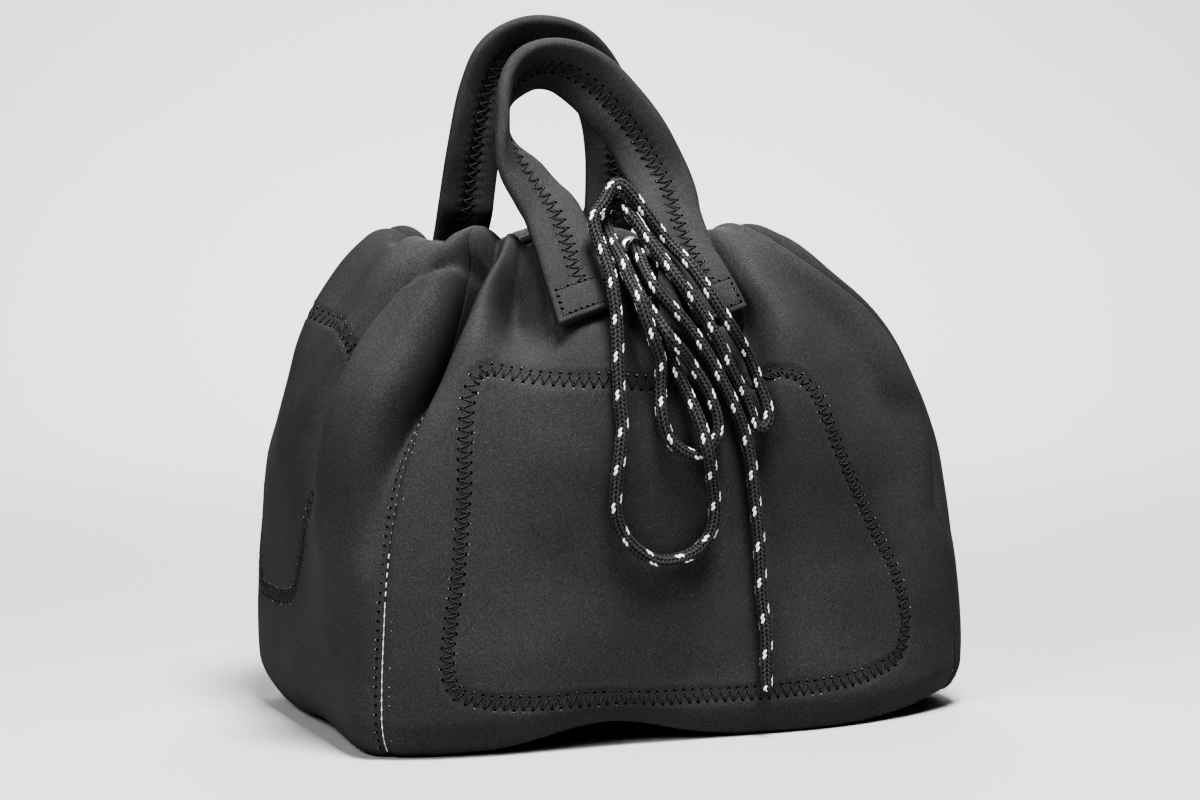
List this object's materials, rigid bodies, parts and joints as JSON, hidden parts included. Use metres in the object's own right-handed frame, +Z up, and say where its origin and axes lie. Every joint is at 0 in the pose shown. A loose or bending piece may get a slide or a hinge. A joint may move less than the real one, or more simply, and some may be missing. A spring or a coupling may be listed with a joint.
{
  "type": "neoprene tote bag",
  "caption": "Soft neoprene tote bag with a flat oblong base, full rounded body, mouth gathered by a round drawcord, and two sewn strap handles.",
  "frame": {"origin": "on the resting plane, under the middle of the bag's floor", "axes": "+Z up to the handles, -Y is the front with the drawcord, +X to the right seen from the front"},
  "size_m": [0.3396, 0.2431, 0.3571],
  "materials": {
    "neoprene": "matt jersey-faced neoprene",
    "lining": "matt jersey",
    "strap": "matt jersey over a soft core",
    "cord": "braided rope with pale flecks",
    "eyelet_metal": "dull nickel"
  },
  "bodies": {
    "bag": {"front_wall": "neoprene", "right_wall": "neoprene", "back_wall": "neoprene", "left_wall": "neoprene", "floor_panel": "neoprene", "mouth_facing": "lining", "front_pocket": "lining", "left_pocket": "lining", "back_pocket": "lining", "right_pocket": "lining", "eyelet_tail": "eyelet_metal", "eyelet_loops": "eyelet_metal", "front_handle_left_end": "strap", "front_handle_right_end": "strap", "back_handle_left_end": "strap", "back_handle_right_end": "strap", "drawcord_loops": "cord", "drawcord_tail": "cord", "drawcord_channel": "cord"},
    "front_handle_loop": {"front_handle": "strap"},
    "back_handle_loop": {"back_handle": "strap"}
  },
  "joints": [
    {"name": "front_handle_swing", "type": "hinge", "parent": "bag", "child": "front_handle_loop", "pos_m": [-0.0225, -0.0665, 0.2503], "axis": [1, 0, 0], "range_deg": [-60, 0], "stiffness_Nm_per_rad": 0.15},
    {"name": "back_handle_swing", "type": "hinge", "parent": "bag", "child": "back_handle_loop", "pos_m": [-0.0035, 0.0735, 0.2541], "axis": [1, 0, 0], "range_deg": [-120, 0], "stiffness_Nm_per_rad": 0.15}
  ]
}
